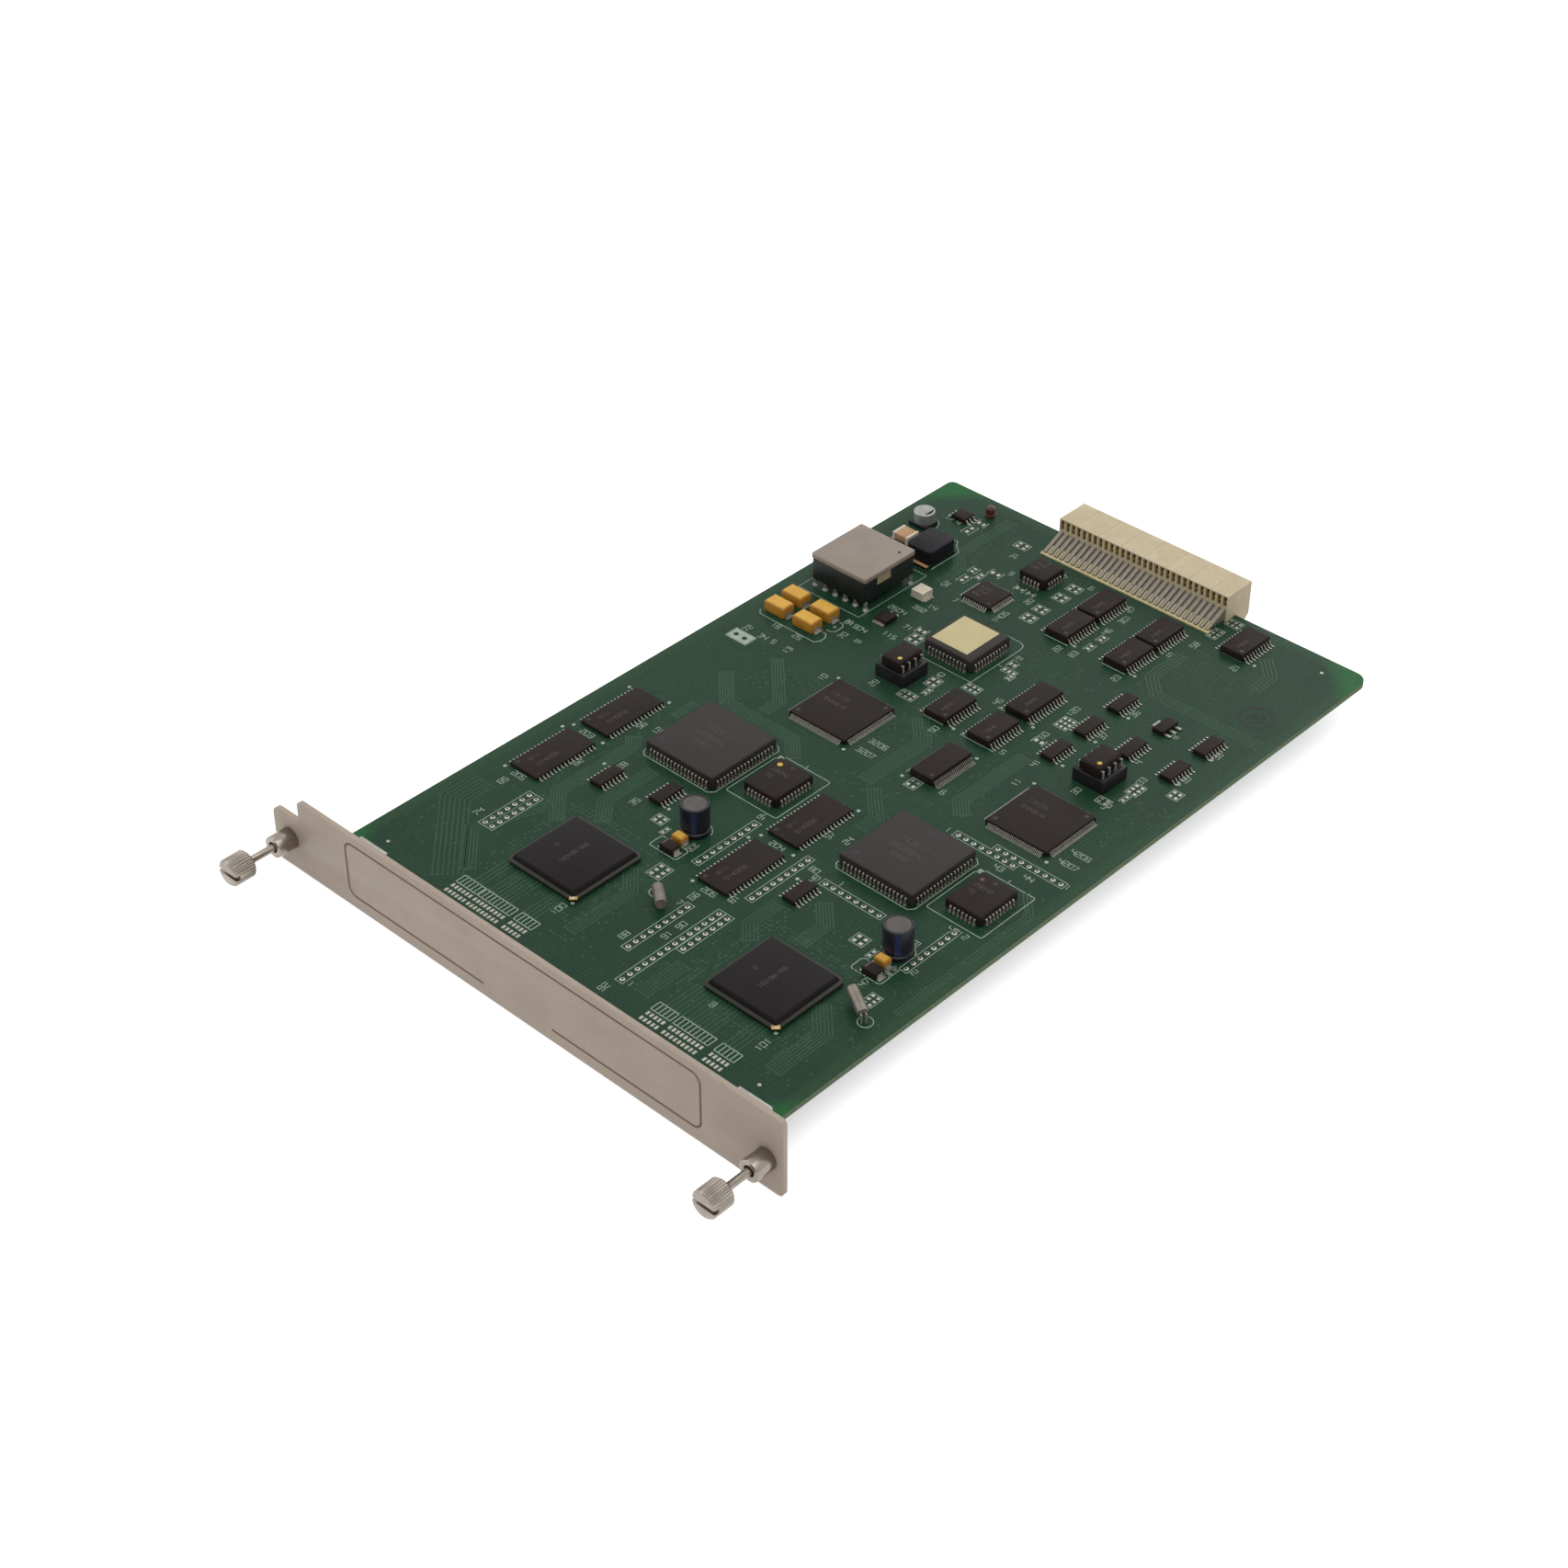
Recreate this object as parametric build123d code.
import os
from build123d import *

# Plug-in circuit card with a front panel and two captive thumbscrews, in millimetres.
# X runs across the card, +Y points from the panel to the mating connector, +Z is up.
# Y = 0 is the connector's mating face, X = 0 the card's middle, Z = 0 the board's top face.
# Places on the board are given in the layout's own grid: x from the left end of the grid,
# whose middle is the connector's middle, and y from the board's back edge.

# Board
board_width = 149.8
board_length = 241.4
board_thickness = 1.6
board_corner_left = 2.0
board_corner_right = 4.0

# Connector: thirty columns of five contacts at 2 mm
contact_pitch = 2.0
contact_columns = 30
contact_rows = 5
housing_height = 8.2
housing_on_board = 4.7
nose_overhang = 6.5
nose_drop = 4.3
nose_chamfer = 2.0
nose_gap = 0.3
contact_hole = 0.9
contact_hole_depth = 3.5
slot_width = 1.25
slot_height = 3.4
slot_depth = 1.3
slot_top_wall = 0.35
blade_height = 0.7
blade_depth = 1.0
tail_width = 1.1
tail_thickness = 0.4
tail_top = 4.3
tail_height_pitch = 0.75
tail_reach = 7.6
tail_row_pitch = 1.5
organizer_thickness = 0.5
organizer_depth = 1.6

# Front panel
panel_thickness = 1.4
panel_gap = 0.2
panel_overhang = 9.3
panel_top = 10.7
panel_bottom = -12.7
ear_length = 10.6
ear_top = 4.0
panel_corner = 1.6
ear_corner = 2.6

# Brackets between board and panel
bracket_width = 10.0
bracket_thickness = 0.8
bracket_foot = 6.2
bracket_left_inset = 18.6
bracket_right_inset = 1.0
bracket_edge_gap = 0.3
bracket_screw_radius = 1.5
bracket_screw_head_radius = 2.6
bracket_screw_head = 1.3
bracket_screw_clearance = 0.1

# Captive thumbscrews
screw_ear_overhang = 4.1
screw_right_inset = 5.0
screw_z = -3.2
ferrule_radius = 3.0
ferrule_bore = 2.0
ferrule_length = 6.0
ferrule_web = 1.0
ferrule_stub_radius = 2.5
shank_radius = 1.05
shank_clearance = 0.5
ring_clearance = 0.08
ring_radius = 1.85
ring_thickness = 0.8
ring_gap = 0.15
thread_radius = 1.75
thread_length = 5.4
pilot_radius = 1.3
pilot_length = 2.6
pilot_chamfer = 0.3
screw_travel = 7.6
knob_stop_gap = 0.3
knob_radius = 3.8
knob_length = 6.6
knob_chamfer = 0.5
knob_slot_width = 1.2
knob_slot_depth = 1.3
knurl_count = 36
knurl_depth = 0.2
seat_clearance = 0.05
cut_past = 1.0

# Repeated channel: the card carries two like groups this far apart
channel_pitch = 68.6

# Chip packages: body width, body depth, stand-off, top height
chip_standoff = 0.15
plcc_standoff = 0.55
plcc68_body = 24.2
plcc68_height = 4.4
plcc44_body = 16.6
plcc44_height = 4.4
plcc32_width = 11.4
plcc32_depth = 14.0
plcc32_height = 3.5
plcc20_body = 9.0
plcc20_height = 3.8
plcc_edge_chamfer = 0.35
label_width = 12.7
label_depth = 13.9
label_thickness = 0.12
qfp_body = 20.0
qfp_height = 1.6
small_qfp_body = 10.0
tsop_width = 10.2
tsop_depth = 21.0
tsop_height = 1.2
bga_body = 24.5
bga_base_top = 1.2
bga_cap = 22.4
bga_cap_height = 1.4
bga_cap_slope_width = 0.7
bga_corner = 1.2
bga_ball_gap = 0.45
wide_chip_width = 7.5
wide_chip_height = 2.5
narrow_chip_width = 3.9
narrow_chip_depth = 8.7
narrow_chip_height = 1.6
chip_edge_chamfer = 0.2

# Power converter block
converter_width = 20.6
converter_depth = 21.2
converter_bottom = 2.6
converter_height = 11.0
converter_plate = 1.6
converter_waist = 0.5
converter_plate_corner = 0.3
converter_pin_radius = 0.6
converter_pin_pitch = 3.81
converter_pin_count = 6
converter_pin_inset = 1.1

# Power inductor
inductor_width = 9.4
inductor_depth = 12.8
inductor_base = 1.0
inductor_height = 5.4
inductor_core_depth = 11.6
inductor_base_inset = 0.3
inductor_core_back = 0.6
inductor_corner = 1.0

# Capacitors, diodes and the small parts round them
tantalum_width = 7.3
tantalum_depth = 4.6
tantalum_height = 3.4
tantalum_columns = (10.3, 21.1)
tantalum_rows = (79.5, 86.6)
small_tantalum_width = 3.6
small_tantalum_depth = 2.6
small_tantalum_height = 2.3
diode_width = 4.6
diode_depth = 3.3
diode_height = 2.2
part_standoff = 0.1
part_draft_chamfer = 0.3
ceramic_height = 2.4
ceramic_sizes = ((5.7, 5.0), (4.2, 4.2))
ceramic_spots = ((11.2, 33.8), (34.4, 53.2))
lamp_width = 3.0
lamp_depth = 2.4
lamp_height = 3.6
can_radius = 3.15
can_height = 4.6
can_base = 6.6
can_base_height = 1.2
radial_can_radius = 3.9
radial_can_height = 9.2
radial_can_groove = 0.35
radial_can_groove_height = 1.3
radial_can_groove_lift = 0.1
can_standoff = 0.1

# Watch crystals that lean over on their two wires
crystal_radius = 1.55
crystal_length = 8.2
crystal_wire_radius = 0.25
crystal_wire_spread = 0.6
crystal_wire_gap = 0.6

# Where each piece stands: x in the layout's grid, y from the board's back edge
layout_middle = 74.9
converter_spot = (18.0, 60.0)
inductor_spot = (22.4, 36.2)
surface_can_spot = (9.7, 23.8)
lamp_spot = (21.4, 7.6)
plug_in_spot = (61.0, 64.8)
label_spot = (60.2, 64.6)
timing_spot = (53.8, 23.4)
clock_spot = (48.5, 41.3)
bridge_spot = (55.9, 110.5)
line_chip_spot = (42.4, 146.6)
boot_chip_spot = (66.0, 145.9)
array_spot = (49.3, 202.5)
radial_can_spot = (62.9, 173.4)
socket_spot = (55.4, 85.8)
small_tantalum_spot = (63.0, 179.0)
diode_spot = (63.6, 183.2)
memory_spots = ((13.2, 150.9), (13.2, 176.4), (81.9, 150.9), (81.9, 176.4))
narrow_spots = (
    (108.6, 56.2), (108.6, 70.6), (108.8, 84.7), (122.7, 70.4), (137.1, 56.1), (137.1, 70.6),
    (30.9, 173.6), (47.2, 168.2), (99.5, 173.6),
)
# ... and for these the third number is the body's depth
wide_spots = (
    (116.3, 11.3, 12.8), (75.6, 23.6, 12.8), (75.6, 37.5, 12.8), (96.0, 23.6, 12.8), (96.0, 37.5, 12.8),
    (91.0, 72.2, 15.4), (91.0, 89.4, 12.8), (76.1, 89.4, 12.8), (90.9, 110.4, 15.9),
)
# ... for these width, depth and height
regulator_spots = (
    (123.2, 56.7, 3.6, 6.6, 1.6),
    (35.0, 69.4, 4.4, 4.8, 1.8),
    (16.2, 13.9, 5.0, 4.4, 1.6),
)
# ... and for these the height of the wires' bend, and in degrees the way the can points and its lean
crystal_spots = {"left": (73.0, 196.9, 2.0, -38.6, 82.0), "right": (142.4, 197.8, 2.6, 151.0, 83.0)}

# Eight-pin chips in sockets
socket_width = 10.2
socket_depth = 10.2
socket_height = 4.0
socket_bore_width = 3.4
socket_end_wall = 1.2
dip_width = 6.4
dip_depth = 9.4
dip_height = 3.3
dip_lift = 0.4
dip_edge_chamfer = 0.5
dip_leg_width = 0.55
dip_leg_thickness = 0.3
dip_leg_pitch = 2.54
dip_leg_spread = 7.8
dip_leg_top = 1.9

half_board = board_width / 2
panel_half_width = half_board + panel_overhang
screw_left_x = -panel_half_width - screw_ear_overhang
screw_right_x = panel_half_width - screw_right_inset
bracket_centres = (bracket_left_inset - half_board, half_board - bracket_right_inset)
housing_width = contact_pitch * contact_columns
panel_rear_y = -(nose_overhang + board_length + panel_gap)
panel_front_y = panel_rear_y - panel_thickness


def place(x_left, y_back, z=0.0):
    """A point on the board, from the layout grid's left end and the board's back edge."""
    return Pos(x_left - layout_middle, -nose_overhang - y_back, z)


def block(width, depth, low, high):
    """A box centred on the origin that runs from one height to another."""
    return Pos(0, 0, (low + high) / 2) * Box(width, depth, high - low)


def chip(width, depth, low, high, chamfer_size):
    """A moulded body with its top edges eased."""
    body = block(width, depth, low, high)
    return chamfer(body.faces().sort_by(Axis.Z)[-1].edges(), chamfer_size)


def y_cylinder(radius, start, end):
    """A round bar along Y, from one Y to another."""
    return Pos(0, (start + end) / 2, 0) * Rot(90, 0, 0) * Cylinder(radius, abs(end - start))


def prism_x(points, width):
    """A flat Y-Z outline drawn out along X, centred on X = 0."""
    face = make_face(Polyline(*[(0, y, z) for y, z in points], close=True))
    return Pos(-width / 2, 0, 0) * extrude(face, width, dir=(1, 0, 0))


def both_channels(solid):
    """The same solid in the left channel and in the right one."""
    return [solid, Pos(channel_pitch, 0, 0) * solid]


def circuit_board():
    slab = place(layout_middle, board_length / 2) * block(board_width, board_length, -board_thickness, 0)
    back_left = slab.edges().filter_by(Axis.Z).sort_by(Axis.Y)[-2:].sort_by(Axis.X)[0]
    slab = fillet(back_left, board_corner_left)
    back_right = slab.edges().filter_by(Axis.Z).sort_by(Axis.X)[-2:].sort_by(Axis.Y)[-1]
    slab = fillet(back_right, board_corner_right)
    hole = Cylinder(bracket_screw_radius + bracket_screw_clearance, 3 * board_thickness)
    return slab - [bracket_screw_spot(x) * hole for x in bracket_centres]


def bracket_foot_span(x):
    """The foot runs under the whole leg, or only as far as the board does."""
    limit = half_board - bracket_edge_gap
    return max(x - bracket_width / 2, -limit), min(x + bracket_width / 2, limit)


def bracket_screw_spot(x):
    low, high = bracket_foot_span(x)
    return Pos((low + high) / 2, panel_rear_y + bracket_thickness + bracket_foot / 2, 0)


def column_xs():
    first = -(contact_columns - 1) / 2 * contact_pitch
    return [first + i * contact_pitch for i in range(contact_columns)]


def connector_housing():
    board_face_y = -nose_overhang - housing_on_board
    nose_y = -nose_overhang + nose_gap
    outline = [
        (board_face_y, 0),
        (nose_y, 0),
        (nose_y, -nose_drop),
        (-nose_chamfer, -nose_drop),
        (0, -nose_drop + nose_chamfer),
        (0, housing_height),
        (board_face_y, housing_height),
    ]
    housing = prism_x(outline, housing_width)
    rows_span = (contact_rows - 1) * contact_pitch
    row_low = (housing_height - nose_drop + nose_chamfer) / 2 - rows_span / 2
    cuts = []
    for x in column_xs():
        slot_middle = housing_height - slot_top_wall - slot_height / 2
        cuts.append(Pos(x, board_face_y + slot_depth / 2, slot_middle)
                    * Box(slot_width, slot_depth, slot_height))
        for row in range(contact_rows):
            cuts.append(Pos(x, -contact_hole_depth / 2, row_low + row * contact_pitch)
                        * Box(contact_hole, contact_hole_depth, contact_hole))
    return housing - cuts


def connector_blades():
    """The bar across the middle of each column's window."""
    y = -nose_overhang - housing_on_board + slot_depth - blade_depth / 2
    z = housing_height - slot_top_wall - slot_height / 2
    blade = Pos(0, y, z) * Box(slot_width, blade_depth, blade_height)
    return [Pos(x, 0, 0) * blade for x in column_xs()]


def tail_row(row):
    """One row of contact tails: out of the housing, down a slope and into the board."""
    start_y = -nose_overhang - housing_on_board
    start_z = tail_top - row * tail_height_pitch
    foot_y = start_y - tail_reach + row * tail_row_pitch
    bend_z = organizer_thickness + tail_thickness
    outline = [
        (start_y, start_z),
        (start_y, start_z - tail_thickness),
        (foot_y + tail_thickness, bend_z),
        (foot_y + tail_thickness, 0),
        (foot_y, 0),
        (foot_y, bend_z),
    ]
    tail = prism_x(outline, tail_width)
    return [Pos(x, 0, 0) * tail for x in column_xs()]


def tail_organizer():
    """The moulded comb that keeps the outer row of tails in line."""
    foot_y = -nose_overhang - housing_on_board - tail_reach
    front_y = foot_y - organizer_depth / 2
    bar = Pos(0, front_y + organizer_depth / 2, organizer_thickness / 2)
    comb = bar * Box(housing_width, organizer_depth, organizer_thickness)
    notch_depth = organizer_depth / 2 + 2 * seat_clearance
    notch_width = tail_width + 2 * seat_clearance
    notch_y = front_y + organizer_depth - notch_depth / 2
    notch = Pos(0, notch_y, organizer_thickness / 2) * Box(notch_width, notch_depth, organizer_thickness)
    return comb - [Pos(x, 0, 0) * notch for x in column_xs()]


def front_panel():
    left = -panel_half_width
    outline = [
        (left, panel_top),
        (panel_half_width, panel_top),
        (panel_half_width, panel_bottom),
        (left - ear_length, panel_bottom),
        (left - ear_length, ear_top),
        (left, ear_top),
    ]
    face = make_face(Polyline(*[(x, panel_front_y, z) for x, z in outline], close=True))
    plate = extrude(face, panel_thickness, dir=(0, 1, 0))
    across = plate.edges().filter_by(Axis.Y)
    corner_edges = [e for e in across if abs(e.center().Z - ear_top) > 0.01]
    ear_edges = [e for e in across if abs(e.center().Z - ear_top) <= 0.01]
    outer_ear = sorted(ear_edges, key=lambda e: e.center().X)[0]
    plate = fillet(corner_edges, panel_corner)
    match = [e for e in plate.edges().filter_by(Axis.Y) if (e.center() - outer_ear.center()).length < 0.01]
    plate = fillet(match, ear_corner)
    hole_radius = ferrule_stub_radius + seat_clearance
    for x in (screw_left_x, screw_right_x):
        hole = y_cylinder(hole_radius, panel_front_y - cut_past, panel_rear_y + cut_past)
        plate -= Pos(x, 0, screw_z) * hole
    return plate


def bracket(x):
    leg_y = panel_rear_y + bracket_thickness / 2
    leg = Pos(x, leg_y, panel_top / 2) * Box(bracket_width, bracket_thickness, panel_top)
    low, high = bracket_foot_span(x)
    foot = bracket_screw_spot(x) * block(high - low, bracket_foot, 0, bracket_thickness)
    hole = Cylinder(bracket_screw_radius + bracket_screw_clearance, 3 * bracket_thickness)
    return leg + foot - bracket_screw_spot(x) * hole


def bracket_screws():
    screws = []
    for x in bracket_centres:
        head = Pos(0, 0, bracket_thickness + bracket_screw_head / 2)
        head = head * Cylinder(bracket_screw_head_radius, bracket_screw_head)
        shank_length = bracket_thickness + board_thickness
        shank = Pos(0, 0, bracket_thickness - shank_length / 2) * Cylinder(bracket_screw_radius, shank_length)
        screws.append(bracket_screw_spot(x) * (head + shank))
    return screws


def ferrule(x):
    """The tube that guides a thumbscrew, staked into the panel."""
    front = panel_front_y - ferrule_length
    tube = y_cylinder(ferrule_radius, front, panel_front_y)
    stub = y_cylinder(ferrule_stub_radius, panel_front_y, panel_rear_y)
    bore = y_cylinder(ferrule_bore, front + ferrule_web, panel_rear_y)
    hole = y_cylinder(shank_radius + shank_clearance, front, panel_rear_y)
    return Pos(x, 0, screw_z) * (tube + stub - bore - hole)


def retaining_ring(x):
    """The ring on the shank that stops against the ferrule's web when the screw is pulled out."""
    start = panel_front_y - ferrule_length + ferrule_web + ring_gap
    outer = y_cylinder(ring_radius, start, start + ring_thickness)
    inner = y_cylinder(shank_radius + ring_clearance, start, start + ring_thickness)
    return Pos(x, 0, screw_z) * (outer - inner)


def thumbscrew(x):
    """Pulled out to its stop, as it hangs when the card is off its rack."""
    knob_back = panel_front_y - ferrule_length - screw_travel - knob_stop_gap
    knob_front = knob_back - knob_length
    shoulder = panel_front_y - ferrule_length + ferrule_web + 2 * ring_gap + ring_thickness
    knob = y_cylinder(knob_radius, knob_back, knob_front)
    knob = chamfer(knob.edges().filter_by(GeomType.CIRCLE), knob_chamfer)
    slot = Pos(0, knob_front + knob_slot_depth / 2, 0)
    knob -= slot * Box(3 * knob_radius, knob_slot_depth, knob_slot_width)
    cutter = Pos(0, (knob_back + knob_front) / 2, knob_radius) * Rot(0, 45, 0)
    cutter_side = knurl_depth * 2 ** 0.5
    cutter = cutter * Box(cutter_side, 2 * knob_length, cutter_side)
    knob -= [Rot(0, i * 360 / knurl_count, 0) * cutter for i in range(knurl_count)]
    shank = y_cylinder(shank_radius, knob_back, shoulder)
    thread_end = shoulder + thread_length
    thread = y_cylinder(thread_radius, shoulder, thread_end)
    pilot = y_cylinder(pilot_radius, thread_end, thread_end + pilot_length)
    tip = pilot.edges().filter_by(GeomType.CIRCLE).sort_by(Axis.Y)[-1]
    pilot = chamfer(tip, pilot_chamfer)
    return Pos(x, 0, screw_z) * (knob + shank + thread + pilot)


def converter_body():
    low = converter_bottom
    high = converter_height - converter_plate
    return place(*converter_spot) * block(converter_width - 2 * converter_waist, converter_depth, low, high)


def converter_plate_solid():
    low = converter_height - converter_plate
    plate = block(converter_width, converter_depth, low, converter_height)
    return place(*converter_spot) * chamfer(plate.edges().filter_by(Axis.Z), converter_plate_corner)


def converter_pins():
    pins = []
    row_y = converter_depth / 2 - converter_pin_inset
    first = -(converter_pin_count - 1) / 2 * converter_pin_pitch
    for side in (-1, 1):
        for i in range(converter_pin_count):
            pin = Cylinder(converter_pin_radius, converter_bottom)
            spot = Pos(first + i * converter_pin_pitch, side * row_y, converter_bottom / 2)
            pins.append(place(*converter_spot) * spot * pin)
    return pins


def inductor_base_solid():
    width = inductor_width - 2 * inductor_base_inset
    return place(*inductor_spot) * block(width, inductor_depth, 0, inductor_base)


def inductor_core():
    core = block(inductor_width, inductor_core_depth, inductor_base, inductor_height)
    core = chamfer(core.edges().filter_by(Axis.Z), inductor_corner)
    return place(*inductor_spot) * Pos(0, inductor_core_back, 0) * core


def ceramic_capacitors():
    pairs = zip(ceramic_spots, ceramic_sizes)
    return [place(*spot) * block(*size, part_standoff, ceramic_height) for spot, size in pairs]


def tantalum(width, depth, height):
    return chip(width, depth, part_standoff, height, part_draft_chamfer)


def tantalum_capacitors():
    body = tantalum(tantalum_width, tantalum_depth, tantalum_height)
    return [place(x, y) * body for y in tantalum_rows for x in tantalum_columns]


def surface_can():
    can_low = can_base_height
    can = Pos(0, 0, (can_low + can_height) / 2) * Cylinder(can_radius, can_height - can_low)
    can = fillet(can.edges().filter_by(GeomType.CIRCLE).sort_by(Axis.Z)[-1], can_radius / 8)
    return place(*surface_can_spot) * can


def surface_can_base():
    base = block(can_base, can_base, can_standoff, can_base_height)
    corners = base.edges().filter_by(Axis.Z).sort_by(Axis.Y)[-2:]
    return place(*surface_can_spot) * chamfer(corners, can_base / 6)


def radial_can():
    """A sleeved capacitor can with the crimp groove near its foot."""
    can = Pos(0, 0, (can_standoff + radial_can_height) / 2)
    can = can * Cylinder(radial_can_radius, radial_can_height - can_standoff)
    can = fillet(can.edges().filter_by(GeomType.CIRCLE), radial_can_groove)
    groove = Torus(radial_can_radius + radial_can_groove_lift, radial_can_groove)
    groove = Pos(0, 0, radial_can_groove_height) * groove
    return place(*radial_can_spot) * (can - groove)


def crystal_axis(x_left, y_back, lift, heading, lean):
    """The top of the wires, turned so that Z runs along the can."""
    return place(x_left, y_back, lift) * Rot(0, 0, heading) * Rot(0, lean, 0)


def crystal(*spot):
    """A can crystal bent over on its two wires."""
    can = Pos(0, 0, crystal_wire_gap + crystal_length / 2) * Cylinder(crystal_radius, crystal_length)
    can = fillet(can.edges().filter_by(GeomType.CIRCLE), crystal_radius / 5)
    return crystal_axis(*spot) * can


def crystal_wires(x_left, y_back, lift, heading, lean):
    """Two wires: up from the board, a bend, and on into the can's end."""
    axis = crystal_axis(x_left, y_back, lift, heading, lean)
    arm = Pos(0, 0, crystal_wire_gap / 2) * Cylinder(crystal_wire_radius, crystal_wire_gap)
    bend = Sphere(crystal_wire_radius)
    post = Pos(0, 0, lift / 2) * Cylinder(crystal_wire_radius, lift)
    wires = []
    for side in (-crystal_wire_spread, crystal_wire_spread):
        foot = place(x_left, y_back) * Rot(0, 0, heading) * Pos(0, side, 0)
        wires.append(foot * post + axis * Pos(0, side, 0) * (arm + bend))
    return wires


def bga_base():
    base = block(bga_body, bga_body, bga_ball_gap, bga_base_top)
    return place(*array_spot) * chamfer(base.edges().filter_by(Axis.Z), bga_corner)


def bga_lid():
    low = Pos(0, 0, bga_base_top) * Rectangle(bga_cap, bga_cap)
    top_size = bga_cap - 2 * bga_cap_slope_width
    high = Pos(0, 0, bga_base_top + bga_cap_height) * Rectangle(top_size, top_size)
    return place(*array_spot) * loft([low.face(), high.face()])


def socket_frame():
    outer = block(socket_width, socket_depth, 0, socket_height)
    window_depth = socket_depth - 2 * socket_end_wall
    window = block(socket_bore_width, window_depth, -cut_past, socket_height + cut_past)
    return place(*socket_spot) * (outer - window)


def dip_body():
    low = socket_height + dip_lift
    return place(*socket_spot) * chip(dip_width, dip_depth, low, low + dip_height, dip_edge_chamfer)


def dip_legs():
    legs = []
    base = socket_height
    half = dip_leg_spread / 2
    height = dip_lift + dip_leg_top
    for side in (-1, 1):
        for i in range(4):
            y = (i - 1.5) * dip_leg_pitch
            down = Pos(side * half, y, base + height / 2) * Box(dip_leg_thickness, dip_leg_width, height)
            reach = half - dip_width / 2 - dip_leg_thickness / 2
            arm_x = side * (dip_width / 2 + reach / 2)
            arm_z = base + height - dip_leg_thickness / 2
            arm = Pos(arm_x, y, arm_z) * Box(reach, dip_leg_width, dip_leg_thickness)
            legs.append(place(*socket_spot) * (down + arm))
    return legs


def plcc(width, depth, height):
    return chip(width, depth, plcc_standoff, height, plcc_edge_chamfer)


def flat_chip(width, depth, height):
    return chip(width, depth, chip_standoff, height, chip_edge_chamfer)


def write(name, solids):
    """Writes one named piece, or one group of like pieces, to its own file."""
    shape = Compound(children=list(solids)) if isinstance(solids, (list, tuple)) else solids
    export_step(shape, os.path.join("parts", name + ".step"))


os.makedirs("parts", exist_ok=True)

write("circuit_board", circuit_board())
write("front_panel", front_panel())
write("left_bracket", bracket(bracket_centres[0]))
write("right_bracket", bracket(bracket_centres[1]))
write("bracket_screws", bracket_screws())

for side, screw_x in (("left", screw_left_x), ("right", screw_right_x)):
    write(side + "_ferrule", ferrule(screw_x))
    write(side + "_retaining_ring", retaining_ring(screw_x))
    write(side + "_thumbscrew", thumbscrew(screw_x))

write("connector_housing", connector_housing())
write("connector_blades", connector_blades())
for row in range(contact_rows):
    write("connector_tails_" + str(row + 1), tail_row(row))
write("tail_organizer", tail_organizer())

write("converter_body", converter_body())
write("converter_plate", converter_plate_solid())
write("converter_pins", converter_pins())
write("inductor_base", inductor_base_solid())
write("inductor_core", inductor_core())
write("ceramic_capacitors", ceramic_capacitors())
write("tantalum_capacitors", tantalum_capacitors())
write("surface_can", surface_can())
write("surface_can_base", surface_can_base())
write("status_lamp", place(*lamp_spot) * block(lamp_width, lamp_depth, part_standoff, lamp_height))

write("plug_in_chip", place(*plug_in_spot) * plcc(plcc44_body, plcc44_body, plcc44_height))
label = block(label_width, label_depth, plcc44_height, plcc44_height + label_thickness)
write("chip_label", place(*label_spot) * label)
write("timing_chip", place(*timing_spot) * plcc(plcc20_body, plcc20_body, plcc20_height))
write("clock_chip", place(*clock_spot) * flat_chip(small_qfp_body, small_qfp_body, qfp_height))

bridge = place(*bridge_spot) * flat_chip(qfp_body, qfp_body, qfp_height)
line_chip = place(*line_chip_spot) * plcc(plcc68_body, plcc68_body, plcc68_height)
boot_chip = place(*boot_chip_spot) * plcc(plcc32_width, plcc32_depth, plcc32_height)
channel_pieces = {
    "bridge_chip": bridge,
    "line_chip": line_chip,
    "boot_chip": boot_chip,
    "array_base": bga_base(),
    "array_lid": bga_lid(),
    "radial_capacitor": radial_can(),
    "chip_socket": socket_frame(),
    "socketed_chip": dip_body(),
}
for name, solid in channel_pieces.items():
    left, right = both_channels(solid)
    write("left_" + name, left)
    write("right_" + name, right)

legs = dip_legs()
write("socketed_chip_legs", legs + [Pos(channel_pitch, 0, 0) * leg for leg in legs])
small_tantalum = tantalum(small_tantalum_width, small_tantalum_depth, small_tantalum_height)
write("small_tantalums", both_channels(place(*small_tantalum_spot) * small_tantalum))
diode = tantalum(diode_width, diode_depth, diode_height)
write("protection_diodes", both_channels(place(*diode_spot) * diode))

memory = flat_chip(tsop_width, tsop_depth, tsop_height)
write("memory_chips", [place(x, y) * memory for x, y in memory_spots])

write("bus_chips", [place(x, y) * flat_chip(wide_chip_width, depth, wide_chip_height)
                    for x, y, depth in wide_spots])

write("logic_chips", [place(x, y) * flat_chip(narrow_chip_width, narrow_chip_depth, narrow_chip_height)
                      for x, y in narrow_spots])
write("regulator_chips", [place(x, y) * flat_chip(width, depth, height)
                          for x, y, width, depth, height in regulator_spots])

wires = []
for side, spot in crystal_spots.items():
    write(side + "_crystal", crystal(*spot))
    wires += crystal_wires(*spot)
write("crystal_wires", wires)
